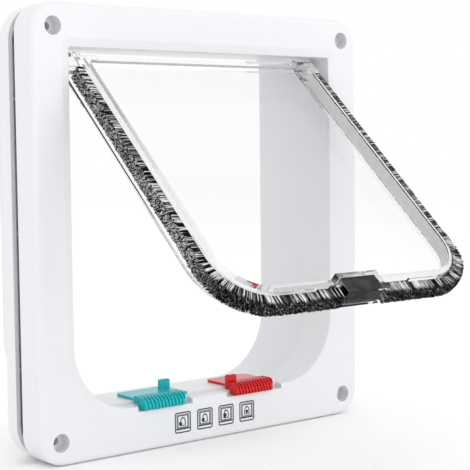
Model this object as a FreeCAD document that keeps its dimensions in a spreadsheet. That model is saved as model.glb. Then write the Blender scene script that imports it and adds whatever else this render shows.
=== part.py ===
import FreeCAD, Part
import math
import os

import Sketcher
from FreeCAD import Placement, Rotation, Vector

# Cat flap for a door. X runs to the right as seen from indoors, Y runs outdoors through the door,
# Z is up. The origin is the centre of the four screw holes, on the plane of the indoor face.

doc = FreeCAD.newDocument("cat_flap")
sheet = doc.addObject("Spreadsheet::Sheet", "Sizes")

SIZES = {
    # Indoor and outdoor frames
    "frame_width": 235.0,
    "frame_height": 250.0,
    "frame_corner": 16.0,
    "frame_wall": 2.5,
    "face_edge_radius": 3.0,
    "front_depth": 18.5,
    "door_gap": 6.5,
    "rear_depth": 15.0,
    "rear_corner": 20.0,
    "rear_edge_radius": 7.0,
    # Passage through the door, inside the bands of the frame
    "band_side": 23.0,
    "band_top": 24.0,
    "band_bottom": 26.0,
    "opening_corner": 38.0,
    "opening_top_corner": 1.5,
    "lip_width": 5.0,
    "lip_depth": 1.0,
    "lip_edge_radius": 0.8,
    "sleeve_wall": 2.0,
    "sleeve_depth": 26.0,
    "sleeve_relief": 0.3,
    "sleeve_relief_start": 12.8,
    "tunnel_gap": 0.5,
    "tunnel_drop": 3.0,
    "tunnel_wall": 2.0,
    "tunnel_start": 21.0,
    "tunnel_end": 72.0,
    "tunnel_end_radius": 0.8,
    # Screw holes
    "screw_inset": 13.0,
    "counterbore": 10.2,
    "counterbore_depth": 7.5,
    "screw_hole": 4.6,
    "pilot_hole": 3.0,
    "pilot_depth": 8.0,
    "boss": 13.0,
    # Ribs inside both trays
    "rib_thickness": 1.5,
    "rib_drop": 1.5,
    "side_rib_pitch": 74.0,
    "end_rib_pitch": 62.0,
    # Hinge of the flap
    "hinge_y": 18.0,
    "hinge_drop": 3.5,
    "flap_rest_angle": 47.5,
    "pin_diameter": 3.0,
    "pin_inside": 11.0,
    "pin_clearance": 0.05,
    "pin_head": 4.6,
    "pin_head_thickness": 1.0,
    "barrel_diameter": 5.2,
    "barrel_end_gap": 0.8,
    "ear_depth": 12.0,
    # Swinging flap, with depths measured from its hinge axis
    "flap_side_gap": 4.0,
    "flap_foot_gap": 5.5,
    "plate_thickness": 2.0,
    "plate_back": 5.2,
    "plate_top": 4.0,
    "plate_top_corner": 4.0,
    "notch_width": 66.0,
    "notch_rise": 1.2,
    "wall_inset": 7.5,
    "wall_rise": 5.0,
    "wall_top": 8.2,
    "wall_thickness": 2.5,
    "wall_front": 8.3,
    "rim_reach": 2.3,
    "rim_thickness": 2.0,
    "head_drop": 9.0,
    "head_thickness": 3.0,
    "head_depth": 3.0,
    "head_lug": 8.0,
    "head_lug_round": 0.6,
    "head_corner": 4.0,
    # Brush pile round the flap
    "pile_side_reach": 7.0,
    "pile_foot_reach": 5.4,
    "pile_trim_reach": 1.2,
    "pile_top": 16.0,
    "pile_trim_end": 31.0,
    "pile_clearance": 0.2,
    # Magnet in its clear box at the foot of the flap
    "case_width": 28.8,
    "case_rise": 6.4,
    "case_drop": 6.7,
    "case_wall": 2.2,
    "case_floor": 0.8,
    "case_back": 1.3,
    "case_clearance": 0.1,
    "lid_thickness": 1.2,
    "magnet_clearance": 0.15,
    # Lock sliders on the sill
    "teal_x": -35.5,
    "teal_travel_out": 2.5,
    "red_x": 30.9,
    "red_travel_out": 7.0,
    "travel_in": 5.0,
    "slider_lift": 0.2,
    "slider_headroom": 0.4,
    "slider_back": 29.0,
    "slider_outer": 15.2,
    "slider_corner": 4.0,
    "grip_width": 29.6,
    "grip_front": 2.6,
    "grip_back": 9.5,
    "grip_foot": 2.2,
    "grip_hook_back": 5.0,
    "grip_round": 6.2,
    "grip_foot_round": 0.4,
    "grip_end_radius": 4.0,
    "grip_headroom": 0.5,
    "grip_rib_height": 0.8,
    "grip_rib_width": 1.3,
    "tab_width": 7.2,
    "tab_thickness": 2.1,
    "tab_corner": 1.2,
    "tab_headroom": 0.6,
    "tab_side_gap": 1.3,
    "tab_gap_behind": 1.1,
    "tab_gap_before": 0.6,
    "tooth_width": 1.2,
    "tooth_depth": 0.9,
    "tooth_run": 25.0,
    # Snap stem that holds a slider down, and its slot in the sill
    "stem_root": 1.0,
    "stem_width": 8.0,
    "stem_depth": 3.0,
    "stem_y": 14.5,
    "stem_clearance": 0.3,
    "foot_reach": 1.0,
    "foot_thickness": 1.2,
    "foot_gap": 0.2,
    # Windows in the lip where the grips hook over it
    "bed_rise": 1.8,
    "bed_gap": 0.5,
    "bed_end": 14.0,
    "bed_foot": 1.0,
    "bed_root": 1.4,

    "window_margin": 0.6,
    "window_depth": 5.9,
    "window_drop": 3.0,
    "rail_end": 2.5,
    "rail_depth": 9.0,
    "rail_drop": 8.0,
    # Magnet under the sill, in its holder
    "sill_magnet_width": 16.0,
    "sill_magnet_depth": 8.0,
    "sill_magnet_height": 3.0,
    "sill_magnet_front": 10.8,
    "holder_wall": 1.0,
}
GRIP_RIBS = 13
TEETH = 9

for row, (name, value) in enumerate(SIZES.items(), start=1):
    sheet.set(f"A{row}", name)
    sheet.set(f"B{row}", str(value))
    sheet.setAlias(f"B{row}", name)
doc.recompute()

HALF_WIDTH = "frame_width / 2"
HALF_HEIGHT = "frame_height / 2"
HALF_OPENING = "( frame_width / 2 - band_side )"
OPENING_TOP = "( frame_height / 2 - band_top )"
SILL = "( band_bottom - frame_height / 2 )"
SCREW_X = "( frame_width / 2 - screw_inset )"
SCREW_Z = "( frame_height / 2 - screw_inset )"
REAR_START = "( front_depth + door_gap )"
REAR_END = "( front_depth + door_gap + rear_depth )"
TUNNEL_GROW = "( sleeve_wall + tunnel_gap )"
HINGE_Z = f"( {OPENING_TOP} - hinge_drop )"
PLATE_FRONT = "( plate_back - plate_thickness )"
PLATE_HALF = f"( {HALF_OPENING} - flap_side_gap )"
PLATE_FOOT = f"( {HINGE_Z} - {SILL} - flap_foot_gap )"
PLATE_CORNER = "( opening_corner - flap_side_gap )"
WALL_HALF = f"( {PLATE_HALF} - wall_inset )"
WALL_FOOT = f"( {PLATE_FOOT} - wall_rise )"
WALL_CORNER = f"( {PLATE_CORNER} - wall_inset )"
CASE_TOP = f"( {WALL_FOOT} - case_rise )"
CASE_FOOT = f"( {WALL_FOOT} + case_drop )"
FLAP_LOW = f"( {HINGE_Z} - {WALL_FOOT} )"
BED_TOP = f"( {SILL} + bed_rise )"
BED_FRONT = "( grip_back + bed_gap )"
SLIDER_UNDER = f"( {SILL} + slider_lift )"
PLATE_UNDER = f"( {BED_TOP} + slider_lift )"
SLIDER_TOP = f"( {FLAP_LOW} - case_drop - slider_headroom )"
GRIP_TOP = f"( {FLAP_LOW} - pile_foot_reach - grip_headroom )"
TAB_TOP = f"( {FLAP_LOW} - notch_rise - tab_headroom )"
MAGNET_REACH = "( sill_magnet_width / 2 + magnet_clearance )"


def expand(expression):
    """Put the sheet's name before every size in an expression."""
    words = expression.replace("(", " ( ").replace(")", " ) ").split()
    return " ".join(f"Sizes.{word}" if word in SIZES else word for word in words)


def size(expression):
    """The present value of an expression of sizes, in millimetres or degrees."""
    return float(sheet.evalExpression(expand(expression)))


def new_body(label, hinged=False):
    """A sub-part named as its file will be. A hinged one hangs on the flap's axis, swung indoors."""
    body = doc.addObject("PartDesign::Body", label)
    body.Label = label
    if hinged:
        body.Placement = Placement(Vector(0, 0, 0), Rotation(Vector(-1, 0, 0), size("flap_rest_angle")))
        body.setExpression("Placement.Base.y", expand("hinge_y"))
        body.setExpression("Placement.Base.z", expand(HINGE_Z))
        body.setExpression("Placement.Rotation.Angle", expand("flap_rest_angle"))
    return body


def new_sketch(body, name, role, offset):
    """A sketch on one of the body's origin planes, moved along the plane's normal."""
    sketch = body.newObject("Sketcher::SketchObject", name)
    plane = next(item for item in body.Origin.OriginFeatures if item.Role == role)
    sketch.AttachmentSupport = (plane, [""])
    sketch.MapMode = "FlatFace"
    sketch.setExpression("AttachmentOffset.Base.z", expand(offset))
    return sketch


def facing_sketch(body, name, place):
    """A sketch in X and Z that stands at a place along Y."""
    return new_sketch(body, name, "XZ_Plane", f"0 - ( {place} )")


def side_sketch(body, name, place):
    """A sketch in Y and Z that stands at a place along X."""
    return new_sketch(body, name, "YZ_Plane", place)


def level_sketch(body, name, place):
    """A sketch in X and Y that lies at a height."""
    return new_sketch(body, name, "XY_Plane", place)


def drive(sketch, kind, geometry, point, expression, name):
    """A distance from the sketch's origin, or a radius, that follows the sheet."""
    value = size(expression)
    if kind == "Radius":
        index = sketch.addConstraint(Sketcher.Constraint("Radius", geometry, value))
    else:
        index = sketch.addConstraint(Sketcher.Constraint(kind, -1, 1, geometry, point, value))
    sketch.renameConstraint(index, name)
    sketch.setExpression(f"Constraints.{name}", expand(expression))


def corner_arc(start, corner, end, radius):
    """The arc that rounds a corner, and whether it runs from the first side to the second."""
    inward = (corner - start).normalize()
    outward = (end - corner).normalize()
    centre = corner + (outward - inward) * radius
    first = corner - inward * radius - centre
    last = corner + outward * radius - centre
    forward = inward.cross(outward).z > 0
    ends = (first, last) if forward else (last, first)
    low, high = [math.atan2(end.y, end.x) for end in ends]
    if high < low:
        high += 2 * math.pi
    return Part.ArcOfCircle(Part.Circle(centre, Vector(0, 0, 1), radius), low, high), forward


def add_profile(sketch, corners, tag="p"):
    """A closed outline of level and upright sides. Each corner is across, up and its radius or None."""
    base = sketch.GeometryCount
    count = len(corners)
    points = [Vector(size(across), size(up), 0) for across, up, _ in corners]
    radii = [size(radius) if radius else 0.0 for _, _, radius in corners]
    for i in range(count):
        after = (i + 1) % count
        along = (points[after] - points[i]).normalize()
        side = Part.LineSegment(points[i] + along * radii[i], points[after] - along * radii[after])
        sketch.addGeometry(side, False)
    for i, (across, up, radius) in enumerate(corners):
        after = (i + 1) % count
        if up == corners[after][1]:
            sketch.addConstraint(Sketcher.Constraint("Horizontal", base + i))
            drive(sketch, "DistanceY", base + i, 1, up, f"{tag}{i}_up")
        else:
            sketch.addConstraint(Sketcher.Constraint("Vertical", base + i))
            drive(sketch, "DistanceX", base + i, 1, across, f"{tag}{i}_across")
    for i, (across, up, radius) in enumerate(corners):
        before = base + (i - 1) % count
        if not radius:
            sketch.addConstraint(Sketcher.Constraint("Coincident", before, 2, base + i, 1))
            continue
        arc, forward = corner_arc(points[i - 1], points[i], points[(i + 1) % count], radii[i])
        number = sketch.addGeometry(arc, False)
        entry, leave = (1, 2) if forward else (2, 1)
        sketch.addConstraint(Sketcher.Constraint("Tangent", before, 2, number, entry))
        sketch.addConstraint(Sketcher.Constraint("Tangent", number, leave, base + i, 1))
        drive(sketch, "Radius", number, 0, radius, f"{tag}{i}_radius")


def add_box(sketch, left, right, low, high, tag="b"):
    """A rectangle between two pairs of expressions."""
    corners = [(left, low, None), (right, low, None), (right, high, None), (left, high, None)]
    add_profile(sketch, corners, tag)


def add_outline(sketch, half, top, bottom, top_corner, bottom_corner, tag="o"):
    """A rectangle centred across, with one radius for its upper and one for its lower corners."""
    left = f"0 - ( {half} )"
    corners = [
        (left, bottom, bottom_corner),
        (half, bottom, bottom_corner),
        (half, top, top_corner),
        (left, top, top_corner),
    ]
    add_profile(sketch, corners, tag)


def add_circle(sketch, across, up, diameter, tag="c"):
    """A circle at a point given by two expressions."""
    number = sketch.GeometryCount
    centre = Vector(size(across), size(up), 0)
    sketch.addGeometry(Part.Circle(centre, Vector(0, 0, 1), size(diameter) / 2), False)
    drive(sketch, "DistanceX", number, 3, across, f"{tag}_across")
    drive(sketch, "DistanceY", number, 3, up, f"{tag}_up")
    drive(sketch, "Radius", number, 0, f"( {diameter} ) / 2", f"{tag}_radius")


def pad(body, sketch, length, reverse=False, middle=False):
    """Add the sketch's area over a length. The volume has to grow."""
    before = body.Shape.Volume if body.Shape.Solids else 0.0
    feature = body.newObject("PartDesign::Pad", f"{sketch.Name}_pad")
    feature.Profile = sketch
    feature.Reversed = reverse
    feature.Midplane = middle
    feature.setExpression("Length", expand(length))
    doc.recompute()
    if body.Shape.Volume < before + 0.01:
        raise RuntimeError(f"{feature.Label} adds nothing")
    return feature


def pocket(body, sketch, length, reverse=False, middle=False):
    """Cut the sketch's area away over a length. The volume has to drop."""
    before = body.Shape.Volume
    feature = body.newObject("PartDesign::Pocket", f"{sketch.Name}_cut")
    feature.Profile = sketch
    feature.Reversed = reverse
    feature.Midplane = middle
    feature.setExpression("Length", expand(length))
    doc.recompute()
    if body.Shape.Volume > before - 0.01:
        raise RuntimeError(f"{feature.Label} cuts nothing")
    return feature


def chosen_edges(shape, wanted):
    """Names of the edges whose ends and middle all pass a test."""
    names = []
    for number, edge in enumerate(shape.Edges, start=1):
        middle = edge.valueAt((edge.FirstParameter + edge.LastParameter) / 2)
        if all(wanted(point) for point in [vertex.Point for vertex in edge.Vertexes] + [middle]):
            names.append(f"Edge{number}")
    return names


def fillet(body, name, radius, wanted):
    """Round the chosen edges of the last feature."""
    base = body.Tip
    feature = body.newObject("PartDesign::Fillet", name)
    feature.Base = (base, chosen_edges(base.Shape, wanted))
    feature.setExpression("Radius", expand(radius))
    doc.recompute()
    return feature


def slant(body, name, first, second, wanted):
    """Cut the chosen edges of the last feature off at a slant, with a size for each of their faces."""
    base = body.Tip
    feature = body.newObject("PartDesign::Chamfer", name)
    feature.Base = (base, chosen_edges(base.Shape, wanted))
    feature.ChamferType = "Two distances"
    feature.setExpression("Size", expand(first))
    feature.setExpression("Size2", expand(second))
    doc.recompute()
    return feature


def repeat_along_x(body, feature, name, length, count):
    """Repeat a feature in equal steps over a length along X."""
    pattern = body.newObject("PartDesign::LinearPattern", name)
    pattern.Originals = [feature]
    axis = next(item for item in body.Origin.OriginFeatures if item.Role == "X_Axis")
    pattern.Direction = (axis, [""])
    pattern.Occurrences = count
    pattern.setExpression("Length", expand(length))
    body.Tip = pattern
    doc.recompute()
    return pattern


def near(value, target):
    """True where a coordinate lies on a plane."""
    return abs(value - target) < 0.01


def frame_outline(sketch, corner, inset, tag="o"):
    """The frames' outer outline, drawn in by an inset."""
    add_outline(
        sketch,
        f"{HALF_WIDTH} - {inset}",
        f"{HALF_HEIGHT} - {inset}",
        f"{inset} - {HALF_HEIGHT}",
        f"{corner} - {inset}",
        f"{corner} - {inset}",
        tag,
    )


def passage_outline(sketch, grow, drop="0", tag="i"):
    """The passage's outline, grown outwards on every side and lowered at its floor."""
    add_outline(
        sketch,
        f"{HALF_OPENING} + {grow}",
        f"{OPENING_TOP} + {grow}",
        f"{SILL} - ( {grow} ) - {drop}",
        f"opening_top_corner + {grow}",
        f"opening_corner + {grow}",
        tag,
    )


def outside_screws(point):
    """True for a point nearer to the frames' outside than the screws."""
    return abs(point.x) > size(SCREW_X) + 0.5 or abs(point.z) > size(SCREW_Z) + 0.5


def screw_circles(sketch, diameter):
    """A circle at each corner screw."""
    for number, (right, upper) in enumerate(((1, 1), (-1, 1), (-1, -1), (1, -1))):
        add_circle(sketch, f"{right} * {SCREW_X}", f"{upper} * {SCREW_Z}", diameter, f"s{number}")


def tray_ribs(sketch, grow, drop="0"):
    """Thin ribs that tie a tray's outer wall to the tube of the passage."""
    inner = f"{HALF_OPENING} + {grow}"
    outer = f"{HALF_WIDTH} - frame_wall / 2"
    sides = (("r", inner, outer), ("l", f"0 - ( {outer} )", f"0 - ( {inner} )"))
    for side, left, right in sides:
        for step in (-1, 0, 1):
            low = f"{step} * side_rib_pitch - rib_thickness / 2"
            high = f"{step} * side_rib_pitch + rib_thickness / 2"
            add_box(sketch, left, right, low, high, f"{side}{step + 1}_")
    ends = (
        ("t", f"{OPENING_TOP} + {grow}", f"{HALF_HEIGHT} - frame_wall / 2"),
        ("u", f"frame_wall / 2 - {HALF_HEIGHT}", f"{SILL} - ( {grow} ) - {drop}"),
    )
    for end, low, high in ends:
        for step in (-1, 1):
            left = f"{step} * end_rib_pitch - rib_thickness / 2"
            right = f"{step} * end_rib_pitch + rib_thickness / 2"
            add_box(sketch, left, right, low, high, f"{end}{step + 1}_")


def reach(centre, half, left_travel, right_travel):
    """Left and right ends of the room that a sliding piece needs."""
    left = f"{centre} - {half} - {left_travel} - window_margin"
    right = f"{centre} + {half} + {right_travel} + window_margin"
    return left, right


def add_magnet_holder(body):
    """Walls under the sill that hold the magnet at its sides."""
    holder = level_sketch(body, "magnet_holder", f"{SILL} - sleeve_wall / 2")
    outer = f"{MAGNET_REACH} + holder_wall"
    front = "sill_magnet_front - magnet_clearance"
    back = "sill_magnet_front + sill_magnet_depth + magnet_clearance"
    add_box(holder, f"0 - ( {outer} )", outer, f"{front} - holder_wall", f"{back} + holder_wall", "a")
    add_box(holder, f"0 - {MAGNET_REACH}", MAGNET_REACH, front, back, "b")
    pad(body, holder, "sleeve_wall / 2 + sill_magnet_height", reverse=True)


def add_slider_bed(body):
    """The step behind the grips that carries the sliders, with ends that run out in the corners."""
    bed = facing_sketch(body, "slider_bed", BED_FRONT)
    end = f"( {HALF_OPENING} - opening_corner + bed_end )"
    foot = f"( {HALF_OPENING} - opening_corner + bed_foot )"
    low = f"{SILL} - bed_root"
    corners = [
        (f"0 - {end}", BED_TOP, None),
        (f"0 - {foot}", low, None),
        (foot, low, None),
        (end, BED_TOP, None),
    ]
    add_profile(bed, corners)
    pad(body, bed, f"sleeve_depth - {BED_FRONT}", reverse=True)


def build_front_frame():
    """Indoor frame: a shallow tray, open to the door, with the sleeve that the flap hangs in."""
    body = new_body("front_frame")
    face = facing_sketch(body, "front_face", "0")
    frame_outline(face, "frame_corner", "0")
    passage_outline(face, "0")
    pad(body, face, "front_depth", reverse=True)

    fillet(body, "front_edge_round", "face_edge_radius", lambda p: near(p.y, 0) and outside_screws(p))
    slant(body, "lip_slant", "lip_width", "lip_depth", lambda p: near(p.y, 0) and not outside_screws(p))
    fillet(body, "lip_edge_round", "lip_edge_radius", lambda p: near(p.y, size("lip_depth")))

    tray = facing_sketch(body, "front_tray", "frame_wall + lip_depth")
    frame_outline(tray, "frame_corner", "frame_wall")
    passage_outline(tray, "sleeve_wall")
    pocket(body, tray, "front_depth")

    sleeve = facing_sketch(body, "sleeve", "front_depth / 2")
    passage_outline(sleeve, "sleeve_wall", tag="a")
    passage_outline(sleeve, "0", tag="b")
    pad(body, sleeve, "sleeve_depth - front_depth / 2", reverse=True)
    relief = facing_sketch(body, "sleeve_relief_cut", "sleeve_relief_start")
    passage_outline(relief, "sleeve_relief")
    pocket(body, relief, "sleeve_depth")

    bosses = facing_sketch(body, "front_bosses", "frame_wall / 2")
    screw_circles(bosses, "boss")
    pad(body, bosses, "front_depth - frame_wall / 2", reverse=True)
    ribs = facing_sketch(body, "front_ribs", "frame_wall / 2")
    tray_ribs(ribs, "( sleeve_wall + sleeve_relief ) / 2")
    pad(body, ribs, "front_depth - rib_drop - frame_wall / 2", reverse=True)

    teal_left, teal_right = reach("teal_x", "grip_width / 2", "teal_travel_out", "travel_in")
    red_left, red_right = reach("red_x", "grip_width / 2", "travel_in", "red_travel_out")
    rail = facing_sketch(body, "slide_rail", "frame_wall / 2")
    under, over = f"{SILL} - rail_drop", f"{SILL} - sleeve_wall / 2"
    add_box(rail, f"{teal_left} - rail_end", f"{red_right} + rail_end", under, over)
    pad(body, rail, "rail_depth - frame_wall / 2", reverse=True)
    windows = facing_sketch(body, "grip_windows", "0 - face_edge_radius")
    low, high = f"{SILL} - window_drop", f"{SILL} + window_drop"
    add_box(windows, teal_left, teal_right, low, high, "t")
    add_box(windows, red_left, red_right, low, high, "r")
    pocket(body, windows, "window_depth + face_edge_radius")

    add_slider_bed(body)
    slots = level_sketch(body, "stem_slots", BED_TOP)
    near_side = "stem_y - stem_depth / 2 - stem_clearance"
    far_side = "stem_y + stem_depth / 2 + stem_clearance"
    teal_left, teal_right = reach("teal_x", "stem_width / 2", "teal_travel_out", "travel_in")
    red_left, red_right = reach("red_x", "stem_width / 2", "travel_in", "red_travel_out")
    add_box(slots, teal_left, teal_right, near_side, far_side, "t")
    add_box(slots, red_left, red_right, near_side, far_side, "r")
    pocket(body, slots, "bed_rise + sleeve_wall + slider_lift")
    add_magnet_holder(body)

    recesses = facing_sketch(body, "counterbores", "0")
    screw_circles(recesses, "counterbore")
    pocket(body, recesses, "counterbore_depth")
    holes = facing_sketch(body, "screw_holes", "0")
    screw_circles(holes, "screw_hole")
    pocket(body, holes, "front_depth")
    hinge = side_sketch(body, "hinge_holes", "0")
    add_circle(hinge, "hinge_y", HINGE_Z, "pin_diameter + 2 * pin_clearance")
    pocket(body, hinge, f"2 * {HALF_OPENING} + 3 * sleeve_wall", middle=True)
    return body


def build_rear_frame():
    """Outdoor frame: a shallow tray with the tunnel that slips over the indoor sleeve."""
    body = new_body("rear_frame")
    face = facing_sketch(body, "rear_face", REAR_START)
    frame_outline(face, "rear_corner", "0")
    passage_outline(face, TUNNEL_GROW, "tunnel_drop")
    pad(body, face, "rear_depth", reverse=True)
    tray = facing_sketch(body, "rear_tray", f"{REAR_END} - frame_wall")
    frame_outline(tray, "rear_corner", "frame_wall")
    passage_outline(tray, f"{TUNNEL_GROW} + tunnel_wall", "tunnel_drop")
    pocket(body, tray, "rear_depth", reverse=True)
    floor = size(f"{REAR_END} - frame_wall")
    inner_radius = "rear_edge_radius - frame_wall"
    fillet(body, "rear_tray_round", inner_radius, lambda p: near(p.y, floor) and outside_screws(p))

    bosses = facing_sketch(body, "rear_bosses", REAR_START)
    screw_circles(bosses, "boss")
    pad(body, bosses, "rear_depth - frame_wall / 2", reverse=True)
    ribs = facing_sketch(body, "rear_ribs", f"{REAR_START} + rib_drop")
    tray_ribs(ribs, f"{TUNNEL_GROW} + tunnel_wall / 2", "tunnel_drop")
    pad(body, ribs, "rear_depth - rib_drop - frame_wall / 2", reverse=True)
    end = size(REAR_END)
    fillet(body, "rear_edge_round", "rear_edge_radius", lambda p: near(p.y, end) and outside_screws(p))

    tunnel = facing_sketch(body, "tunnel", "tunnel_start")
    passage_outline(tunnel, f"{TUNNEL_GROW} + tunnel_wall", "tunnel_drop", "a")
    passage_outline(tunnel, TUNNEL_GROW, "tunnel_drop", "b")
    pad(body, tunnel, "tunnel_end - tunnel_start", reverse=True)
    fillet(body, "tunnel_end_round", "tunnel_end_radius", lambda p: near(p.y, size("tunnel_end")))
    pilots = facing_sketch(body, "pilot_holes", REAR_START)
    screw_circles(pilots, "pilot_hole")
    pocket(body, pilots, "pilot_depth")
    return body


def wall_outline(sketch, grow):
    """The U of the flap's wall seen from the front, its outside grown at the sides and the foot."""
    outer = f"( {WALL_HALF} + {grow} )"
    inner = f"( {WALL_HALF} - wall_thickness )"
    top = "0 - wall_top"
    foot = f"0 - {WALL_FOOT} - {grow}"
    floor = f"wall_thickness - {WALL_FOOT}"
    corners = [
        (f"0 - {outer}", top, None),
        (f"0 - {outer}", foot, f"{WALL_CORNER} + {grow}"),
        (outer, foot, f"{WALL_CORNER} + {grow}"),
        (outer, top, None),
        (inner, top, None),
        (inner, floor, f"{WALL_CORNER} - wall_thickness"),
        (f"0 - {inner}", floor, f"{WALL_CORNER} - wall_thickness"),
        (f"0 - {inner}", top, None),
    ]
    add_profile(sketch, corners)


def add_flap_head(body):
    """The rail that joins the side walls' front edges, stepped up at its ends and rounded into the walls."""
    head = facing_sketch(body, "flap_head", "0 - wall_front")
    inner = f"( {WALL_HALF} - wall_thickness )"
    lug = f"( {WALL_HALF} - wall_thickness - head_lug )"
    low = "0 - head_drop - head_thickness"
    corners = [
        (f"0 - {inner}", low, None),
        (inner, low, None),
        (inner, "0 - wall_top", None),
        (lug, "0 - wall_top", "head_lug_round"),
        (lug, "0 - head_drop", None),
        (f"0 - {lug}", "0 - head_drop", None),
        (f"0 - {lug}", "0 - wall_top", "head_lug_round"),
        (f"0 - {inner}", "0 - wall_top", None),
    ]
    add_profile(head, corners)
    pad(body, head, "head_depth", reverse=True)
    side, underside = size(inner), size(low)
    fillet(body, "flap_head_corners", "head_corner", lambda p: near(abs(p.x), side) and near(p.z, underside))


def build_flap_panel():
    """Clear flap: a plate at the back, a U-shaped wall that stands forward and a rim round its front."""
    body = new_body("flap_panel", hinged=True)
    plate = facing_sketch(body, "flap_plate", PLATE_FRONT)
    top, foot = "0 - plate_top", f"0 - {PLATE_FOOT}"
    add_outline(plate, PLATE_HALF, top, foot, "plate_top_corner", PLATE_CORNER)
    pad(body, plate, "plate_thickness", reverse=True)

    wall = facing_sketch(body, "flap_wall", "0 - wall_front")
    wall_outline(wall, "0")
    pad(body, wall, f"wall_front + {PLATE_FRONT}", reverse=True)
    add_flap_head(body)
    rim = facing_sketch(body, "flap_rim", "0 - wall_front")
    wall_outline(rim, "rim_reach")
    pad(body, rim, "rim_thickness", reverse=True)

    notch = facing_sketch(body, "foot_notch", "0 - wall_front - rim_thickness")
    half, low = "notch_width / 2", f"0 - {PLATE_FOOT} - rim_reach"
    add_box(notch, f"0 - {half}", half, low, f"0 - {WALL_FOOT} - notch_rise")
    pocket(body, notch, "wall_front + plate_back + 2 * rim_thickness")
    seat = facing_sketch(body, "case_seat", PLATE_FRONT)
    half = "case_width / 2 + case_clearance"
    add_box(seat, f"0 - ( {half} )", half, low, f"case_clearance - {CASE_TOP}")
    pocket(body, seat, "wall_front * 2", reverse=True)

    inner = f"{WALL_HALF} - wall_thickness"
    outer = f"{HALF_OPENING} - barrel_end_gap"
    for side, left, web_left in (
        ("right", inner, inner),
        ("left", f"0 - ( {outer} )", f"0 - {PLATE_HALF}"),
    ):
        barrel = side_sketch(body, f"barrel_{side}", left)
        add_circle(barrel, "0", "0", "barrel_diameter")
        pad(body, barrel, f"{outer} - ( {inner} )")
        web = side_sketch(body, f"web_{side}", web_left)
        back = "barrel_diameter / 2"
        corners = [
            (f"0 - {back}", "0", None),
            (f"0 - {back}", "0 - ear_depth", None),
            ("plate_back", "0 - ear_depth", None),
            ("plate_back", "0 - plate_top", None),
            (back, "0 - plate_top", None),
            (back, "0", None),
        ]
        add_profile(web, corners)
        pad(body, web, f"{PLATE_HALF} - ( {inner} )")
        bore = side_sketch(body, f"bore_{side}", left)
        add_circle(bore, "0", "0", "pin_diameter + 2 * pin_clearance")
        pocket(body, bore, f"{outer} - ( {inner} )", reverse=True)
    return body


def build_pile_strip(side, sign):
    """Brush pile down one side of the flap and round to the magnet box, trimmed where tabs pass."""
    body = new_body(f"pile_strip_{side}", hinged=True)
    strip = facing_sketch(body, f"pile_{side}", "rim_thickness + pile_clearance - wall_front")
    wall = f"{sign} * {WALL_HALF}"
    tips = f"{sign} * ( {WALL_HALF} + pile_side_reach )"
    trim = f"{sign} * pile_trim_end"
    last = f"{sign} * ( case_width / 2 + case_clearance + pile_clearance )"
    foot = f"0 - {WALL_FOOT}"
    corners = [
        (wall, "0 - pile_top", None),
        (tips, "0 - pile_top", None),
        (tips, f"{foot} - pile_foot_reach", PLATE_CORNER),
        (trim, f"{foot} - pile_foot_reach", None),
        (trim, f"{foot} - pile_trim_reach", None),
        (last, f"{foot} - pile_trim_reach", None),
        (last, foot, None),
        (wall, foot, WALL_CORNER),
    ]
    add_profile(strip, corners)
    pad(body, strip, f"wall_front - rim_thickness + {PLATE_FRONT} - 2 * pile_clearance", reverse=True)
    return body


def build_magnet_case():
    """Clear box at the foot of the flap, open to the front."""
    body = new_body("magnet_case", hinged=True)
    half = "case_width / 2"
    block = facing_sketch(body, "case_block", "lid_thickness - wall_front")
    add_box(block, f"0 - {half}", half, f"0 - {CASE_FOOT}", f"0 - {CASE_TOP}")
    pad(body, block, f"wall_front - lid_thickness + {PLATE_FRONT}", reverse=True)
    hollow = facing_sketch(body, "case_hollow", "lid_thickness - wall_front")
    low, high = f"case_floor - {CASE_FOOT}", f"0 - {CASE_TOP} - case_wall"
    add_box(hollow, f"case_wall - {half}", f"{half} - case_wall", low, high)
    pocket(body, hollow, f"wall_front - lid_thickness + {PLATE_FRONT} - case_back")
    return body


def build_magnet_case_lid():
    """Clear cover on the front of the magnet box."""
    body = new_body("magnet_case_lid", hinged=True)
    half = "case_width / 2"
    lid = facing_sketch(body, "case_lid", "0 - wall_front")
    add_box(lid, f"0 - {half}", half, f"0 - {CASE_FOOT}", f"0 - {CASE_TOP}")
    pad(body, lid, "lid_thickness", reverse=True)
    return body


def build_flap_magnet():
    """Block magnet inside the clear box, lying on its floor."""
    body = new_body("flap_magnet", hinged=True)
    half = "case_width / 2 - case_wall - magnet_clearance"
    block = facing_sketch(body, "magnet_block", "lid_thickness + magnet_clearance - wall_front")
    low, high = f"case_floor - {CASE_FOOT}", f"0 - {CASE_TOP} - case_wall - magnet_clearance"
    add_box(block, f"0 - ( {half} )", half, low, high)
    inside = f"wall_front - lid_thickness + {PLATE_FRONT} - case_back - 2 * magnet_clearance"
    pad(body, block, inside, reverse=True)
    return body


def build_hinge_pin(side, sign):
    """Headed pin pushed in from the tray side, through the sleeve into the flap."""
    body = new_body(f"hinge_pin_{side}")
    face = f"{sign} * ( {HALF_OPENING} + sleeve_wall )"
    shank = side_sketch(body, f"shank_{side}", face)
    add_circle(shank, "hinge_y", HINGE_Z, "pin_diameter")
    pad(body, shank, "sleeve_wall + pin_inside", reverse=sign > 0)
    head = side_sketch(body, f"head_{side}", face)
    add_circle(head, "hinge_y", HINGE_Z, "pin_head")
    pad(body, head, "pin_head_thickness", reverse=sign < 0)
    return body


def grip_profile(sketch, inset):
    """Section of a grip, drawn in at its front and top."""
    front = f"{inset} - grip_front"
    top = f"{GRIP_TOP} - {inset}"
    corners = [
        (front, f"{SILL} - grip_foot", "grip_foot_round"),
        ("grip_hook_back", f"{SILL} - grip_foot", None),
        ("grip_hook_back", SLIDER_UNDER, None),
        ("grip_back", SLIDER_UNDER, None),
        ("grip_back", top, None),
        (front, top, f"grip_round - {inset}"),
    ]
    add_profile(sketch, corners)


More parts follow.
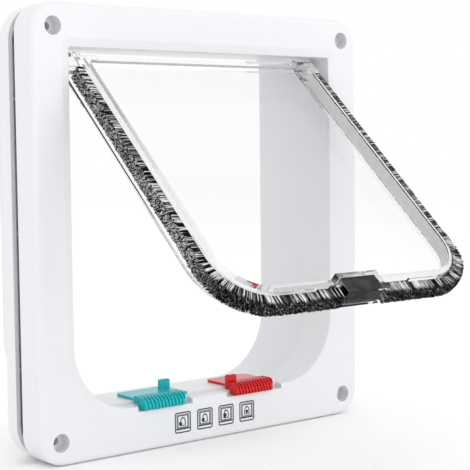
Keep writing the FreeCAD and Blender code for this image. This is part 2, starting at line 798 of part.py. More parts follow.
def round_grip_end(body, colour, centre):
    """Round the grip's right end as seen from above, by cutting away all outside a rounded outline."""
    plan = level_sketch(body, f"{colour}_grip_end", GRIP_TOP)
    wide, half = "grip_width", "grip_width / 2"
    room = "grip_end_radius"
    ahead, behind = f"0 - grip_front - {room}", f"grip_back + 2 * {room}"
    add_box(plan, f"{centre} - {wide}", f"{centre} + {wide}", ahead, behind, "a")
    left, right = f"{centre} - {half} - {room}", f"{centre} + {half}"
    front, back = "0 - grip_front", f"grip_back + {room}"
    corners = [(left, front, None), (right, front, room), (right, back, None), (left, back, None)]
    add_profile(plan, corners, "b")
    pocket(body, plan, f"{GRIP_TOP} - {SILL} + 2 * grip_foot")


def build_slider(colour, centre, tab_place, toward):
    """Lock slider: ribbed grip over the lip, flat plate on the sill's step, stop tab and snap stem."""
    body = new_body(f"slider_{colour}")
    grip = side_sketch(body, f"{colour}_grip", f"{centre} - grip_width / 2")
    grip_profile(grip, "grip_rib_height")
    pad(body, grip, "grip_width")
    rib = side_sketch(body, f"{colour}_rib", f"{centre} - grip_width / 2")
    grip_profile(rib, "0")
    first = pad(body, rib, "grip_rib_width")
    repeat_along_x(body, first, f"{colour}_ribs", "grip_width - grip_rib_width", GRIP_RIBS)
    round_grip_end(body, colour, centre)

    inner = f"0 - {toward} * ( case_width / 2 + tab_side_gap )"
    outer = f"{centre} - {toward} * slider_outer"
    left, right = (outer, inner) if toward > 0 else (inner, outer)
    plate = level_sketch(body, f"{colour}_plate", PLATE_UNDER)
    corners = [
        (left, "grip_hook_back", None),
        (right, "grip_hook_back", None),
        (right, "slider_back", "slider_corner"),
        (left, "slider_back", "slider_corner"),
    ]
    add_profile(plate, corners)
    pad(body, plate, f"{SLIDER_TOP} - {PLATE_UNDER}")

    tab = facing_sketch(body, f"{colour}_tab", tab_place)
    middle = f"0 - {toward} * ( case_width / 2 + tab_side_gap + tab_width / 2 )"
    left, right = f"{middle} - tab_width / 2", f"{middle} + tab_width / 2"
    low = f"{SLIDER_TOP} - tab_thickness / 2"
    corners = [
        (left, low, None),
        (right, low, None),
        (right, TAB_TOP, "tab_corner"),
        (left, TAB_TOP, "tab_corner"),
    ]
    add_profile(tab, corners)
    pad(body, tab, "tab_thickness", reverse=True)

    stem = level_sketch(body, f"{colour}_stem", f"{PLATE_UNDER} + stem_root")
    near_side, far_side = "stem_y - stem_depth / 2", "stem_y + stem_depth / 2"
    left, right = f"{centre} - stem_width / 2", f"{centre} + stem_width / 2"
    add_box(stem, left, right, near_side, far_side)
    depth = "stem_root + slider_lift + bed_rise + sleeve_wall + foot_gap + foot_thickness"
    pad(body, stem, depth, reverse=True)
    foot = level_sketch(body, f"{colour}_foot", f"{SILL} - sleeve_wall - foot_gap")
    add_box(foot, left, right, f"{near_side} - foot_reach", f"{far_side} + foot_reach")
    pad(body, foot, "foot_thickness", reverse=True)
    return body


def add_teeth(body):
    """A row of small notches along the back edge of the left slider, for its click stops."""
    tooth = level_sketch(body, "tooth", SLIDER_TOP)
    left = "teal_x - slider_outer + slider_corner + tooth_width / 2"
    add_box(tooth, left, f"{left} + tooth_width", "slider_back - tooth_depth", "slider_back + tooth_depth")
    cut = pocket(body, tooth, f"{SLIDER_TOP} - {PLATE_UNDER}")
    repeat_along_x(body, cut, "teeth", "tooth_run - tooth_width", TEETH)


def build_sill_magnet():
    """Block magnet in its holder, against the underside of the sill."""
    body = new_body("sill_magnet")
    block = level_sketch(body, "sill_magnet_block", f"{SILL} - sleeve_wall")
    half = "sill_magnet_width / 2"
    back = "sill_magnet_front + sill_magnet_depth"
    add_box(block, f"0 - {half}", half, "sill_magnet_front", back)
    pad(body, block, "sill_magnet_height", reverse=True)
    return body


front_frame = build_front_frame()
rear_frame = build_rear_frame()
flap_panel = build_flap_panel()
slider_teal = build_slider("teal", "teal_x", f"hinge_y + {PLATE_FRONT} + tab_gap_behind", 1)
add_teeth(slider_teal)
slider_red = build_slider("red", "red_x", "hinge_y - wall_front - tab_thickness - tab_gap_before", -1)
parts = [
    front_frame,
    rear_frame,
    flap_panel,
    build_pile_strip("left", -1),
    build_pile_strip("right", 1),
    build_magnet_case(),
    build_magnet_case_lid(),
    build_flap_magnet(),
    build_hinge_pin("left", -1),
    build_hinge_pin("right", 1),
    slider_teal,
    slider_red,
    build_sill_magnet(),
]
doc.recompute()

for item in doc.Objects:
    if "Invalid" in item.State or "Error" in item.State:
        raise RuntimeError(f"{item.Label} has state {item.State}")
for body in parts:
    if body.Shape.isNull() or not body.Shape.isValid():
        raise RuntimeError(f"{body.Label} has no valid shape")

os.makedirs("parts", exist_ok=True)
for body in parts:
    body.Shape.exportStep(f"parts/{body.Label}.step")
    box = body.Shape.BoundBox
    solids = len(body.Shape.Solids)
    print(f"{body.Label}: {solids} solid, {body.Shape.Volume / 1000:.2f} cm3, "
          f"X {box.XMin:.1f} {box.XMax:.1f} Y {box.YMin:.1f} {box.YMax:.1f} Z {box.ZMin:.1f} {box.ZMax:.1f}")
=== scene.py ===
import math

import bpy
import numpy as np
from mathutils import Matrix, Vector


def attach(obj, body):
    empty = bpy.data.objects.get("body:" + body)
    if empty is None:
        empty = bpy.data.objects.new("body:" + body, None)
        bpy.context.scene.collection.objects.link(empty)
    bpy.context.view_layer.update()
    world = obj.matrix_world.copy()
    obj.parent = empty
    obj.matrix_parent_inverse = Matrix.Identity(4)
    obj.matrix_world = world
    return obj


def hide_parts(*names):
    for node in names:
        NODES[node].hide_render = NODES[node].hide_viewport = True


# A cat flap for a door: white moulded frames, a clear flap edged in brush pile, and two
# coloured lock sliders on the sill. The scene is in metres, in the frame of the solids. The
# sizes of the pile and of the prints are in millimetres until their points are placed.

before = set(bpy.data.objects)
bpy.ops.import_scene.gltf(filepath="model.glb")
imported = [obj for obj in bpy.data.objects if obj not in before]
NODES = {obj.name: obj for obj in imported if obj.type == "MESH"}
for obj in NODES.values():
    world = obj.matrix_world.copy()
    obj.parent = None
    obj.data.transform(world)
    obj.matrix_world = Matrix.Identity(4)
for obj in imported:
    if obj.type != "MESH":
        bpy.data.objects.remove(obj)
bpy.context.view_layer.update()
MM = 0.001
QUARTER_TURN = math.pi / 2

HINGE = np.array([0.0, 0.018, 0.0975])
REST_ANGLE = math.radians(-47.5)

# The path of the pile on the flap's wall, in the flap's own axes: its hinge line is at 0, Z runs
# up and Y through the flap. Half the wall's width, its foot below the hinge, its corner radius.
WALL_HALF, WALL_FOOT, WALL_CORNER = 83.0, 186.0, 26.5
PILE_TOP, PILE_END = 16.0, 15.2         # its top below the hinge, its end beside the middle
PILE_MIDDLE, PILE_HALF = -1.55, 4.5     # its middle and half its width, along Y
SIDE_LENGTH = WALL_FOOT - WALL_CORNER - PILE_TOP
ARC_LENGTH = WALL_CORNER * QUARTER_TURN
PATH_LENGTH = SIDE_LENGTH + ARC_LENGTH + WALL_HALF - WALL_CORNER - PILE_END

# The fibres: where they stand and how far they reach.
SEEDS = {-1: 11, 1: 7}                  # of the left and the right side's draws
TUFTS, FIBRES = 8000, 3                 # tufts on a side, fibres in a tuft
TUFT_SPREAD, TUFT_INSET = 0.15, 0.35    # of a tuft's roots, and of tufts from the strip's edges
EDGE_INSET, START_INSET, STOP_INSET = 0.3, 0.3, 0.2
FOOT_START, FOOT_RAMP = 130, 30         # where on the path the pile turns into the foot's
CORNER_MIDDLE, CORNER_REACH = 164, 14   # where on the path the corner's pile is longest
SIDE_HEIGHT, FOOT_EXTRA, CORNER_EXTRA = 6.7, 1.9, 0.6
CROWN = 0.1                             # share of the height that is lost at the strip's edges
TUFT_SHORTEST, FIBRE_SHORTEST = 0.95, 0.97
TUFT_LEAN, FIBRE_LEAN = 0.35, 0.08      # spread of the lean along the path
EDGE_LEAN, ACROSS_LEAN = 0.2, 0.2       # outward lean at the strip's edges, and its spread
ROOT_LIFT = 0.4                         # of a fibre's root above the wall
FIBRE_WIDTH, TIP_SHARE = (0.17, 0.27), 0.7

# Their tones: shares of fibres, and the values that the pile's material reads.
OWN_TONE_SHARE = 0.3                    # fibres whose tone isn't their tuft's
# Of the shares on the next line, the second is painted light: that many fewer fibres are near black
# along the foot, which makes the foot paler.
DARK_SHARE, FOOT_PAINTED_LIGHT, GREY_SHARE = 0.6, 0.14, 0.06
DARK_TONE, GREY_TONE, PALE_TONE = 0.01, 0.3, 1.0
DULLEST = 0.9                           # factor on a tone, drawn between this and 1
# The rise values feed painted shade: dark roots, and dark fibre ends along the foot, where the
# pile's underside is in shade.
END_RISE, FOOT_SHADE_RISE = 0.66, 0.34        # rise at a fibre's end, and what the foot adds
PALE_END_SHARE, PALE_END = 0.12, 0.4    # fibres that get less of that, and how much of it

# The tape: its edges and its top above the wall, its half-width less than the pile's, its steps.
TAPE_LOW, TAPE_HIGH, TAPE_NARROWER, TAPE_STEPS = 0.02, 0.5, 0.8, 120

# The four signs: half a sign's width, its foot and its head, then for each sign its middle and
# the shift, lift and radius of the mark in it.
SIGN_HALF, SIGN_LOW, SIGN_HIGH = 5.75, -118.3, -106.1
SIGNS = ((-22.9, -1.7, -2.0, 1.15), (-6.8, -1.3, -1.8, 1.1),
         (9.1, -0.9, -1.5, 1.3), (25.0, 0.0, -1.5, 1.1))
MARK_MIDDLE, MARK_LIFT = 0.6, 0.7       # above a sign's middle, and above its mark's own lift
INK_FRONT, INK_BACK = -0.04, 0.01       # just in front of the indoor face, and just inside it
DARK_INK_SLOT, GREY_INK_SLOT = 0, 1

# A band of a sign: its outer and its inner line. A line is its distances from the sign's sides,
# foot and head, and its corner radius.
SIGN_OUTLINE = ((0, 0, 0, 1.5), (0.75, 0.75, 0.75, 0.9))
SIGN_GREY_BAND = ((1.2, 2.9, 1.2, 0.5), (2.1, 3.1, 2.0, 0.3))
SIGN_FINE_LINE = ((2.1, 3.1, 2.0, 0.3), (2.5, 3.5, 2.4, 0.2))
# The bar: its distance from the sides, its foot and head above the sign's foot, and its radius.
SIGN_BAR = (0.9, 1.9, 2.8, 0.3)
# The arch's outer and inner line: below the mark's middle, its half-width and its height.
SIGN_ARCH = ((2.6, 2.1, 5.0), (2.1, 1.45, 3.7))
ARCH_POWER = 0.6

# The photograph's camera as fitted: its place, its angles in degrees, and its focal length in
# pixels of a picture of this width. The sensor's width is in millimetres.
CAMERA_PLACE = (-0.46852, -0.60226, 0.04919)
CAMERA_YAW, CAMERA_PITCH, CAMERA_ROLL = 38.9, -4.05, -0.65
FOCAL_PIXELS, PICTURE_PIXELS, SENSOR_WIDTH = 1308.95, 470, 36.0

FLOOR_Z, FLOOR_RADIUS, FLOOR_SIDES = -0.1252, 6, 64     # just under the frame

# Each lamp's name, place, target, width, height and power.
LAMPS = (
    ("key", (-0.8, -1.6, 0.8), (0, 0, 0), 1.2, 1.2, 2.6),
    ("overhead", (0, 0.3, 2.2), (0, 0.3, 0), 2.0, 2.0, 3.0),
    ("lip_strip", (0.5, -1.7, 0.15), (0, 0, 0), 0.3, 1.0, 2.4),
    ("sill_strip", (1.1, -1.34, 0.5), (0, 0, -0.05), 1.0, 0.3, 1.8),
    ("edge_strip", (-1.35, -1.05, 0.1), (-0.1, 0, 0), 0.06, 1.4, 0.4),
    ("gap_strip", (-1.6, 0.0, 0.1), (-0.1, 0.02, 0), 0.2, 1.2, 0.6),
)


def linear(code):
    """Turn an sRGB hex colour into linear red, green, blue and alpha."""
    parts = [int(code[i:i + 2], 16) / 255 for i in (1, 3, 5)]
    return [c / 12.92 if c <= 0.04045 else ((c + 0.055) / 1.055) ** 2.4 for c in parts] + [1.0]


def add(tree, kind, settings=None, **links):
    """Add a node. Settings are attributes or input values, links are inputs fed by an output."""
    node = tree.nodes.new(kind)
    for name, value in (settings or {}).items():
        if name in node.inputs:
            node.inputs[name].default_value = value
        else:
            setattr(node, name, value)
    for name, output in links.items():
        tree.links.new(output, node.inputs[name])
    return node


def new_material(name, settings):
    """A material with a principled shader whose constant values are set on its own sockets."""
    material = bpy.data.materials.new(name)
    material.use_nodes = True
    tree = material.node_tree
    shader = next(node for node in tree.nodes if node.type == "BSDF_PRINCIPLED")
    for socket, value in settings.items():
        shader.inputs[socket].default_value = value
    return material, tree, shader


def orange_peel(tree, shader, size, strength):
    """The faint waviness of a polished mould: noise of one size on object coordinates, as bump."""
    place = add(tree, "ShaderNodeTexCoord")
    noise = add(tree, "ShaderNodeTexNoise", {"Scale": 1 / size, "Detail": 2.0},
                Vector=place.outputs["Object"])
    bump = add(tree, "ShaderNodeBump", {"Strength": strength, "Distance": size / 20},
               Height=noise.outputs["Fac"])
    tree.links.new(bump.outputs["Normal"], shader.inputs["Normal"])
    return noise


def two_tones(tree, shader, texture, first, second):
    """Colour a surface with a mix of two near tones, by a texture's value."""
    tint = add(tree, "ShaderNodeMix", {"data_type": "RGBA"}, Factor=texture.outputs["Fac"])
    tint.inputs["A"].default_value = linear(first)
    tint.inputs["B"].default_value = linear(second)
    tree.links.new(tint.outputs["Result"], shader.inputs["Base Color"])


def white_abs():
    """Injection-moulded ABS: bright white, glossy, the mould's faint waviness in its highlights."""
    material, tree, shader = new_material("moulded_white_abs", {"Roughness": 0.3, "IOR": 1.5})
    noise = orange_peel(tree, shader, 2.5 * MM, 0.06)
    two_tones(tree, shader, noise, "#e3e4e7", "#e7e8ea")
    return material


def clear_polycarbonate():
    """Moulded clear polycarbonate: glassy, greyer the longer the way that light takes inside it.

    Its refractive index is well below the plastic's own, which keeps its edges faint.
    """
    material, tree, shader = new_material("moulded_clear_polycarbonate", {
        "Base Color": linear("#fefefe"), "Roughness": 0.02, "IOR": 1.16,
        "Transmission Weight": 1.0})
    orange_peel(tree, shader, 9 * MM, 0.03)
    haze = add(tree, "ShaderNodeVolumeAbsorption", {"Color": linear("#efefef"), "Density": 60.0})
    output = next(node for node in tree.nodes if node.type == "OUTPUT_MATERIAL")
    tree.links.new(haze.outputs["Volume"], output.inputs["Volume"])
    return material


def pile_fibre():
    """Polypropylene brush pile: tufts of near-black and of pale fibre mixed.

    The colour is the tone that shade gives, times a factor that rise gives. The factor is dark at
    0, the root, white from 0.18 to 0.72, and dark again at 1, the end of a fibre at the foot. The
    two
    dark ends are painted shade: the shade among the tufts at their roots, and the shade on the
    foot's underside, where its fibres end.
    """
    material, tree, shader = new_material("woven_polypropylene_pile", {
        "Roughness": 0.85, "Specular IOR Level": 0.05})
    shade = add(tree, "ShaderNodeAttribute", {"attribute_name": "shade"})
    ramp = add(tree, "ShaderNodeValToRGB", Fac=shade.outputs["Fac"])
    ramp.color_ramp.elements[0].color = linear("#030304")
    ramp.color_ramp.elements[1].color = linear("#fafafb")
    # Painted shade from rise: dark at the roots, where the tufts shade each other, and dark at the
    # fibre ends along the foot, on its shaded underside.
    rise = add(tree, "ShaderNodeAttribute", {"attribute_name": "rise"})
    ends = add(tree, "ShaderNodeValToRGB", Fac=rise.outputs["Fac"])
    ends.color_ramp.elements[0].color = linear("#0c0c0d")
    ends.color_ramp.elements[1].color = linear("#262627")
    for place in (0.18, 0.72):
        ends.color_ramp.elements.new(place).color = linear("#ffffff")
    tone_times_painted_shade = add(tree, "ShaderNodeMix", {"data_type": "RGBA", "blend_type": "MULTIPLY"})
    tone_times_painted_shade.inputs["Factor"].default_value = 1.0
    tree.links.new(ramp.outputs["Color"], tone_times_painted_shade.inputs["A"])
    tree.links.new(ends.outputs["Color"], tone_times_painted_shade.inputs["B"])
    tree.links.new(tone_times_painted_shade.outputs["Result"], shader.inputs["Base Color"])
    return material


def coloured_abs(name, first, second):
    """Injection-moulded ABS, coloured through and glossy."""
    material, tree, shader = new_material(name, {
        "Roughness": 0.16, "IOR": 1.5, "Specular IOR Level": 0.3})
    noise = orange_peel(tree, shader, 3 * MM, 0.05)
    two_tones(tree, shader, noise, first, second)
    return material


def ferrite():
    """Pressed ferrite magnet under black lacquer.

    It is greyer where the noise is high: a painted reflection, in place of the lacquer's wavy
    highlights.
    """
    material, tree, shader = new_material("pressed_ferrite", {
        "Roughness": 0.18, "Specular IOR Level": 0.06})
    noise = orange_peel(tree, shader, 9 * MM, 0.3)
    # Painted reflection: grey on the black where the noise is high, standing in for wavy
    # highlights.
    painted_reflection = add(tree, "ShaderNodeValToRGB", Fac=noise.outputs["Fac"])
    black, grey = painted_reflection.color_ramp.elements
    black.position, grey.position = 0.46, 0.54
    black.color, grey.color = linear("#020203"), linear("#2c2c2e")
    tree.links.new(painted_reflection.outputs["Color"], shader.inputs["Base Color"])
    return material


def drawn_steel():
    """Drawn steel wire pin, with a fine rough grain."""
    material, tree, shader = new_material("drawn_steel", {
        "Base Color": linear("#b9babc"), "Metallic": 1.0, "Roughness": 0.3})
    orange_peel(tree, shader, 0.6 * MM, 0.1)
    return material


def print_ink(name, code):
    """Pad-printing ink: flat, a hair proud of the plastic."""
    material, tree, shader = new_material(name, {"Base Color": linear(code), "Roughness": 0.5})
    orange_peel(tree, shader, 0.5 * MM, 0.05)
    return material


def woven_backing():
    """Pale woven tape that carries the pile: fine threads, as slightly distorted waves."""
    material, tree, shader = new_material("woven_polyester_tape", {
        "Roughness": 0.8, "Specular IOR Level": 0.25})
    place = add(tree, "ShaderNodeTexCoord")
    weave = add(tree, "ShaderNodeTexWave", {"Scale": 1 / (1.2 * MM), "Distortion": 1.5},
                Vector=place.outputs["Object"])
    two_tones(tree, shader, weave, "#f7f7f8", "#fcfcfc")
    return material


WHITE = white_abs()
CLEAR = clear_polycarbonate()
PILE = pile_fibre()
TAPE = woven_backing()
TEAL = coloured_abs("moulded_teal_abs", "#12adb4", "#18b4bb")
RED = coloured_abs("moulded_red_abs", "#c9141b", "#d01a20")
BLACK = ferrite()
STEEL = drawn_steel()
INK = print_ink("pad_printed_charcoal_ink", "#242629")
PALE_INK = print_ink("pad_printed_grey_ink", "#85878b")

FINISHES = {
    "front_frame": WHITE,
    "rear_frame": WHITE,
    "flap_panel": CLEAR,
    "magnet_case": CLEAR,
    "magnet_case_lid": CLEAR,
    "flap_magnet": BLACK,
    "sill_magnet": BLACK,
    "hinge_pin_left": STEEL,
    "hinge_pin_right": STEEL,
    "slider_teal": TEAL,
    "slider_red": RED,
}


def finish_solids():
    """Give each carried-over solid its material."""
    for node, material in FINISHES.items():
        for material_slot in NODES[node].material_slots:
            material_slot.material = material


def make_piece(name, points, faces, body, materials, values=None):
    """A mesh object from arrays of points in metres and of faces, riding on a body.

    It takes its materials in order as its mesh's slots. Its values
    are named numbers for each point that its material reads.
    """
    mesh = bpy.data.meshes.new(name)
    mesh.from_pydata(points.tolist(), [], [list(face) for face in faces])
    for material in materials:
        mesh.materials.append(material)
    for key, numbers in (values or {}).items():
        attribute = mesh.attributes.new(key, "FLOAT", "POINT")
        attribute.data.foreach_set("value", numbers.astype(np.float32))
    mesh.update()
    piece = bpy.data.objects.new(name, mesh)
    bpy.context.scene.collection.objects.link(piece)
    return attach(piece, body)


def hang(points):
    """Turn points from the flap's own axes, in millimetres, to its open rest position in metres."""
    c, s = math.cos(REST_ANGLE), math.sin(REST_ANGLE)
    turn = np.array([[1, 0, 0], [0, c, -s], [0, s, c]])
    return points * MM @ turn.T + HINGE


def wall_path(distance, sign):
    """A point on the flap's wall and the outward direction there, by distance down the pile.

    The path is a straight side, a quarter circle and a straight foot that ends at the magnet box.
    """
    turn = np.clip((distance - SIDE_LENGTH) / WALL_CORNER, 0, QUARTER_TURN)
    along_foot = np.clip(distance - SIDE_LENGTH - ARC_LENGTH, 0, None)
    down = np.clip(distance, 0, SIDE_LENGTH)
    x = WALL_HALF - WALL_CORNER + WALL_CORNER * np.cos(turn) - along_foot
    z = -PILE_TOP - down - WALL_CORNER * np.sin(turn)
    out = np.stack([np.cos(turn) * sign, -np.sin(turn)], -1)
    return np.stack([x * sign, z], -1), out


def make_pile(side, sign):
    """Brush pile down one side: small tufts of blunt fibres that stand out of the wall.

    A tuft has a place, a lean and a tone. Each of its fibres is a slim three-sided prism whose root
    lies near the tuft's and whose end stands out by the pile's height, leaning by the tuft's lean.
    The height is the side's, more along the foot, and most at the corner by a bell curve. It falls
    by a tenth towards the strip's edges, with the square of the distance from its middle.
    Its tone is near black, grey or pale by a draw that it shares with its tuft, or has for itself.
    Fewer are near black along the foot: painted light, which makes the pile paler there.
    The value called rise grows from 0 at the root to two thirds at the end, or to 1 along the foot,
    less for a few fibres there, whose ends stay pale. The material turns rise into painted shade at
    the roots and on the fibre ends along the foot.
    """
    rng = np.random.default_rng(SEEDS[sign])
    count = TUFTS * FIBRES

    def shared(draw):
        """One draw for each tuft, given to all its fibres."""
        return np.repeat(draw, FIBRES)

    spread = rng.normal(0, TUFT_SPREAD, (2, count))
    distance = shared(rng.uniform(0, PATH_LENGTH, TUFTS)) + spread[0]
    across = shared(rng.uniform(-1, 1, TUFTS)) * (PILE_HALF - TUFT_INSET) + spread[1]
    distance = np.clip(distance, START_INSET, PATH_LENGTH - STOP_INSET)
    across = np.clip(across, EDGE_INSET - PILE_HALF, PILE_HALF - EDGE_INSET)
    base, out = wall_path(distance, sign)

    foot = np.clip((distance - FOOT_START) / FOOT_RAMP, 0, 1)
    corner = np.exp(-((distance - CORNER_MIDDLE) / CORNER_REACH) ** 2)
    crown = 1 - CROWN * (across / PILE_HALF) ** 2
    height = (SIDE_HEIGHT + FOOT_EXTRA * foot + CORNER_EXTRA * corner) * crown
    height *= shared(rng.uniform(TUFT_SHORTEST, 1.0, TUFTS))
    height *= rng.uniform(FIBRE_SHORTEST, 1.0, count)
    lean_along = shared(rng.normal(0, TUFT_LEAN, TUFTS)) + rng.normal(0, FIBRE_LEAN, count)
    lean_across = EDGE_LEAN * across / PILE_HALF + shared(rng.normal(0, ACROSS_LEAN, TUFTS))

    along3 = np.stack([out[:, 1] * sign, np.zeros(count), -out[:, 0] * sign], -1)
    out3 = np.stack([out[:, 0], np.zeros(count), out[:, 1]], -1)
    lift = np.array([0.0, 1.0, 0.0])
    root = np.stack([base[:, 0], across + PILE_MIDDLE, base[:, 1]], -1) + ROOT_LIFT * out3
    tip = root + out3 * (height - ROOT_LIFT)[:, None]
    tip = tip + along3 * lean_along[:, None] + lift * lean_across[:, None]
    angle = rng.uniform(0, 2 * math.pi, count)
    width = rng.uniform(*FIBRE_WIDTH, count)
    corners = []
    for end, share in ((root, 1.0), (tip, TIP_SHARE)):
        for third in range(3):
            a = angle + third * 2 * math.pi / 3
            turn = along3 * np.cos(a)[:, None] + lift * np.sin(a)[:, None]
            corners.append(end + share * width[:, None] * turn)
    points = np.concatenate(corners)

    r = [np.arange(count) + k * count for k in range(6)]
    triples = [(r[2], r[1], r[0]), (r[3], r[4], r[5])]
    for k in range(3):
        after = (k + 1) % 3
        triples += [(r[k], r[after], r[3 + after]), (r[k], r[3 + after], r[3 + k])]
    faces = np.concatenate([np.stack(triple, -1) for triple in triples])
    if sign < 0:
        faces = faces[:, ::-1]

    own = rng.uniform(0, 1, count) < OWN_TONE_SHARE
    kind = np.where(own, rng.uniform(0, 1, count), shared(rng.uniform(0, 1, TUFTS)))
    # Painted light: fewer near-black fibres along the foot, so that the foot reads paler.
    dark = DARK_SHARE - FOOT_PAINTED_LIGHT * foot
    lighter = np.where(kind < dark + GREY_SHARE, GREY_TONE, PALE_TONE)
    tone = np.where(kind < dark, DARK_TONE, lighter)
    tone *= rng.uniform(DULLEST, 1.0, count)
    # Painted shade on the fibre ends along the foot, less of it for a few fibres.
    pale = rng.uniform(0, 1, count) < PALE_END_SHARE
    ends = END_RISE + FOOT_SHADE_RISE * foot * np.where(pale, PALE_END, 1.0)
    values = {"shade": np.tile(tone, 6), "rise": np.concatenate([0 * ends] * 3 + [ends] * 3)}
    piece = make_piece(f"pile_{side}", hang(points), faces, "flap", [PILE], values)
    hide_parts(f"pile_strip_{side}")


def make_tape(side, sign):
    """The tape that carries the pile: a flat strip against the wall, swept along the same path."""
    base, out = wall_path(np.linspace(0, PATH_LENGTH, TAPE_STEPS), sign)
    rise = np.array([TAPE_LOW, TAPE_HIGH, TAPE_HIGH, TAPE_LOW])
    across = PILE_MIDDLE + (PILE_HALF - TAPE_NARROWER) * np.array([-1, -1, 1, 1])
    rows, cols = TAPE_STEPS, len(rise)
    points = np.empty((rows, cols, 3))
    points[..., 0] = base[:, None, 0] + out[:, None, 0] * rise
    points[..., 1] = across
    points[..., 2] = base[:, None, 1] + out[:, None, 1] * rise
    i, j = np.meshgrid(np.arange(rows - 1), np.arange(cols), indexing="ij")
    k = (j + 1) % cols
    quads = np.stack([i * cols + j, i * cols + k, (i + 1) * cols + k, (i + 1) * cols + j], -1)
    faces = quads.reshape(-1, 4).tolist()
    faces += [list(range(cols))[::-1], list(range((rows - 1) * cols, rows * cols))]
    if sign < 0:
        faces = [face[::-1] for face in faces]
    placed = hang(points.reshape(-1, 3))
    make_piece(f"pile_tape_{side}", placed, faces, "flap", [TAPE])


def rounded(left, right, low, high, radius, count=8):
    """Points of a rectangle with rounded corners, anticlockwise."""
    turn = np.linspace(0, QUARTER_TURN, count)
    centres = [(right - radius, high - radius), (left + radius, high - radius),
               (left + radius, low + radius), (right - radius, low + radius)]
    parts = []
    for quarter, (x, z) in enumerate(centres):
        angle = turn + quarter * QUARTER_TURN
        parts.append(np.stack([x + radius * np.cos(angle), z + radius * np.sin(angle)], -1))
    return np.concatenate(parts)


def arch(x, low, half, height, count=24):
    """Points of a pointed arch, anticlockwise.

    Over a quarter turn, the half-width is half times the cosine to the arch's power, at a height
    of height times the sine.
    """
    turn = np.linspace(0, QUARTER_TURN, count)
    right = np.stack([x + half * np.cos(turn) ** ARCH_POWER, low + height * np.sin(turn)], -1)
    left = np.stack([2 * x - right[::-1][1:, 0], right[::-1][1:, 1]], -1)
    return np.concatenate([right, left])


def disc(x, z, radius, count=20):
    """Points of a circle, anticlockwise."""
    turn = np.linspace(0, 2 * math.pi, count + 1)[:-1]
    return np.stack([x + radius * np.cos(turn), z + radius * np.sin(turn)], -1)


def print_shapes(name, shapes):
    """Thin closed prints on the indoor face.

    A shape is an outline, its hole's outline or None, and the material slot of its ink.
    """
    points, faces, inks = [], [], []
    start = 0
    for outer, inner, ink in shapes:
        count = len(outer)
        rings = [outer] if inner is None else [outer, inner]
        for ring in rings:
            for depth in (INK_FRONT, INK_BACK):
                points.append(np.stack([ring[:, 0], np.full(count, depth), ring[:, 1]], -1))
        n = start + np.arange(count)
        after = start + (np.arange(count) + 1) % count
        new = np.stack([n, n + count, after + count, after], -1).tolist()
        if inner is None:
            new += [list(n), list(n[::-1] + count)]
        else:
            two, three = 2 * count, 3 * count
            new += np.stack([n + two, after + two, after + three, n + three], -1).tolist()
            new += np.stack([n, after, after + two, n + two], -1).tolist()
            new += np.stack([n + count, n + three, after + three, after + count], -1).tolist()
        faces += new
        inks += [ink] * len(new)
        start += count * 2 * len(rings)
    placed = np.concatenate(points) * MM
    piece = make_piece(name, placed, faces, "frame", [INK, PALE_INK])
    piece.data.polygons.foreach_set("material_index", np.array(inks, dtype=np.int32))


def make_pictograms():
    """Four small signs under the opening, one for each setting of the locks.

    A sign is a dark outline with a grey band and a fine line inside it, a bar at its foot, and an
    arched outline with a round mark.
    """
    for number, (x, shift, lift, radius) in enumerate(SIGNS, start=1):
        left, right, low, high = x - SIGN_HALF, x + SIGN_HALF, SIGN_LOW, SIGN_HIGH
        middle = (low + high) / 2 + MARK_MIDDLE
        shapes = []
        for band, ink in ((SIGN_OUTLINE, DARK_INK_SLOT), (SIGN_GREY_BAND, GREY_INK_SLOT),
                          (SIGN_FINE_LINE, DARK_INK_SLOT)):
            lines = [rounded(left + beside, right - beside, low + under, high - over, corner)
                     for beside, under, over, corner in band]
            shapes.append((*lines, ink))
        beside, under, over, corner = SIGN_BAR
        bar = rounded(left + beside, right - beside, low + under, low + over, corner)
        shapes.append((bar, None, DARK_INK_SLOT))
        lines = [arch(x, middle - below, half, height) for below, half, height in SIGN_ARCH]
        shapes.append((*lines, DARK_INK_SLOT))
        mark = disc(x + shift, middle + lift + MARK_LIFT, radius)
        shapes.append((mark, None, DARK_INK_SLOT))
        print_shapes(f"pictogram_{number}", shapes)


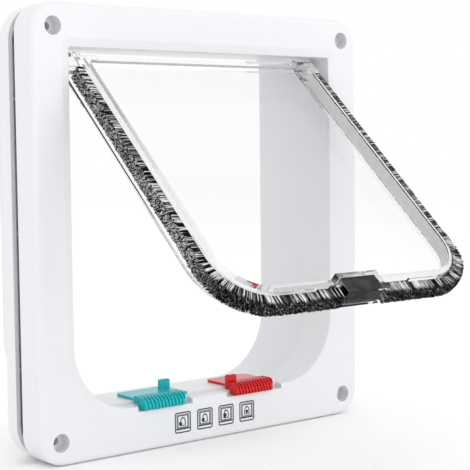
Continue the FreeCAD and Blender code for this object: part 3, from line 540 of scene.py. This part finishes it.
def set_camera():
    """The photograph's camera: from the left front, a little above the middle, on a long lens."""
    yaw, pitch, roll = (math.radians(a) for a in (CAMERA_YAW, CAMERA_PITCH, CAMERA_ROLL))
    level = math.cos(pitch)
    forward = Vector((math.sin(yaw) * level, math.cos(yaw) * level, math.sin(pitch)))
    right = forward.cross(Vector((0, 0, 1))).normalized()
    up = right.cross(forward)
    across = right * math.cos(roll) + up * math.sin(roll)
    upward = up * math.cos(roll) - right * math.sin(roll)
    data = bpy.data.cameras.new("camera")
    data.sensor_width = SENSOR_WIDTH
    data.lens = SENSOR_WIDTH * FOCAL_PIXELS / PICTURE_PIXELS
    data.clip_start, data.clip_end = 0.01, 50.0
    camera = bpy.data.objects.new("camera", data)
    bpy.context.scene.collection.objects.link(camera)
    turn = Matrix((across, upward, -forward)).transposed().to_4x4()
    camera.matrix_world = Matrix.Translation(CAMERA_PLACE) @ turn
    bpy.context.scene.camera = camera


def area_light(name, place, target, width, height, power):
    """A soft rectangular lamp that faces a target point."""
    data = bpy.data.lights.new(name, "AREA")
    data.shape = "RECTANGLE"
    data.size, data.size_y, data.energy = width, height, power
    lamp = bpy.data.objects.new(name, data)
    lamp.location = place
    lamp.rotation_euler = (Vector(target) - Vector(place)).to_track_quat("-Z", "Y").to_euler()
    bpy.context.scene.collection.objects.link(lamp)


def make_floor():
    """A wide disc of pale paper just under the frame."""
    ring = disc(0, 0, FLOOR_RADIUS, FLOOR_SIDES)
    points = np.column_stack([ring, np.full(FLOOR_SIDES, FLOOR_Z)])
    mesh = bpy.data.meshes.new("floor")
    mesh.from_pydata(points.tolist(), [], [list(range(FLOOR_SIDES))])
    material, tree, shader = new_material("studio_paper", {
        "Roughness": 0.9, "Specular IOR Level": 0.1})
    place = add(tree, "ShaderNodeTexCoord")
    noise = add(tree, "ShaderNodeTexNoise", {"Scale": 40.0}, Vector=place.outputs["Object"])
    two_tones(tree, shader, noise, "#fdfdfd", "#fefefe")
    mesh.materials.append(material)
    floor = bpy.data.objects.new("floor", mesh)
    bpy.context.scene.collection.objects.link(floor)


def set_studio():
    """The floor, a white surround and soft lamps."""
    make_floor()
    world = bpy.data.worlds.new("surround")
    world.use_nodes = True
    background = world.node_tree.nodes["Background"]
    background.inputs["Color"].default_value = (1, 1, 1, 1)
    background.inputs["Strength"].default_value = 1.0
    bpy.context.scene.world = world
    for lamp in LAMPS:
        area_light(*lamp)
    bpy.context.scene.view_settings.view_transform = "Standard"


set_camera()
finish_solids()
for side, sign in (("left", -1), ("right", 1)):
    make_pile(side, sign)
    make_tape(side, sign)
make_pictograms()
set_studio()
